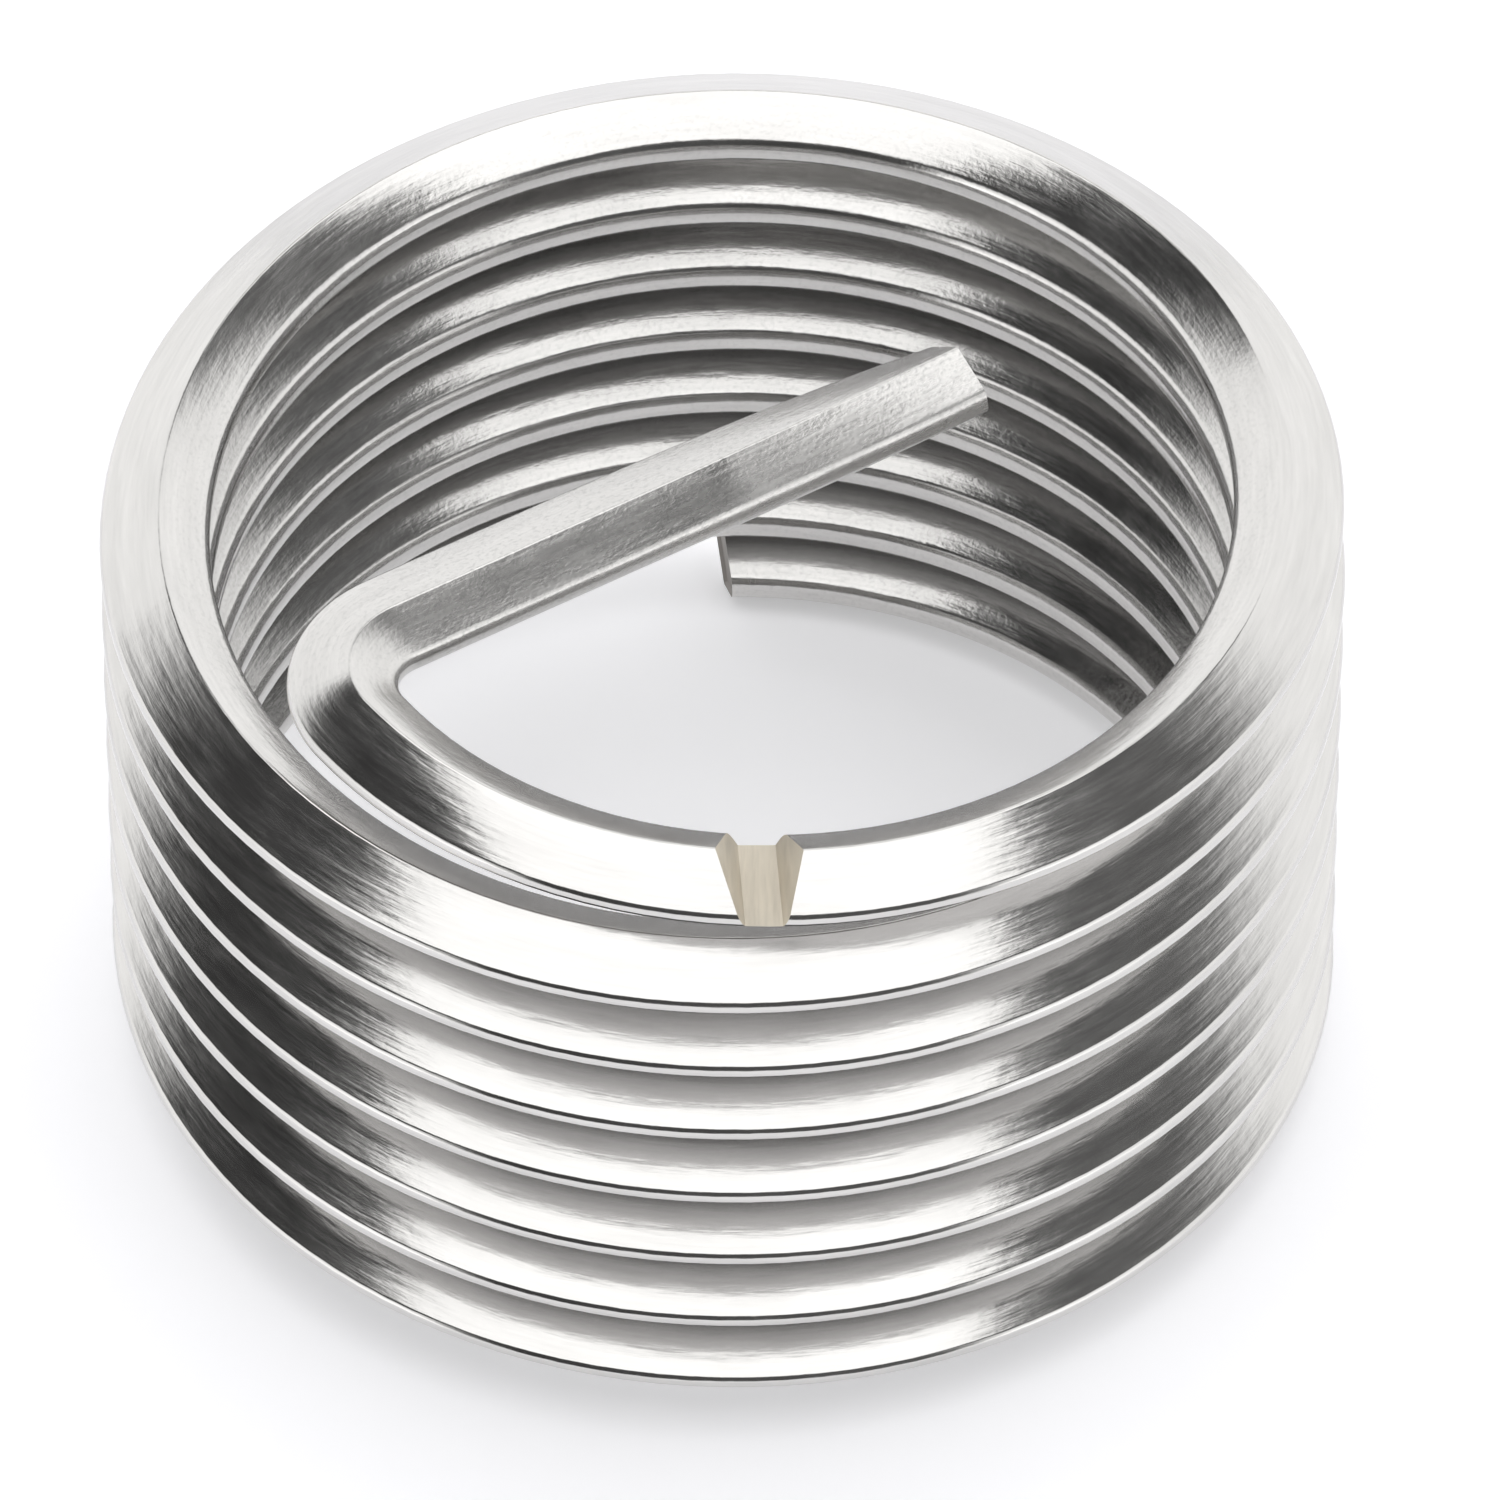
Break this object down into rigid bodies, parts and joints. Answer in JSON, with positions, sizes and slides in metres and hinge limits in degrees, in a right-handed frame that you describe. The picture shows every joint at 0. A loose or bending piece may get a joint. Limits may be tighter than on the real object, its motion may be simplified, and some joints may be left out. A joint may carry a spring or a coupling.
{
  "type": "helical thread insert",
  "caption": "Coiled insert of rhombic stainless steel wire that lines a tapped hole with a new thread, with a driving tang across its leading end and a notch where the tang breaks off.",
  "frame": {"origin": "the coil's axis at the level of the lowest point of the wire, at the sheared end", "axes": "+Z along the coil's axis, towards the tang, which is the end that goes into the hole first; -Y is the side with the notch; the sheared end at the base lies at +Y"},
  "size_m": [0.0202, 0.0202, 0.0128],
  "materials": {
    "steel_wire": "bright cold-rolled stainless steel with fine streaks along the wire"
  },
  "bodies": {
    "root": {"insert_wire": "steel_wire"}
  },
  "joints": []
}
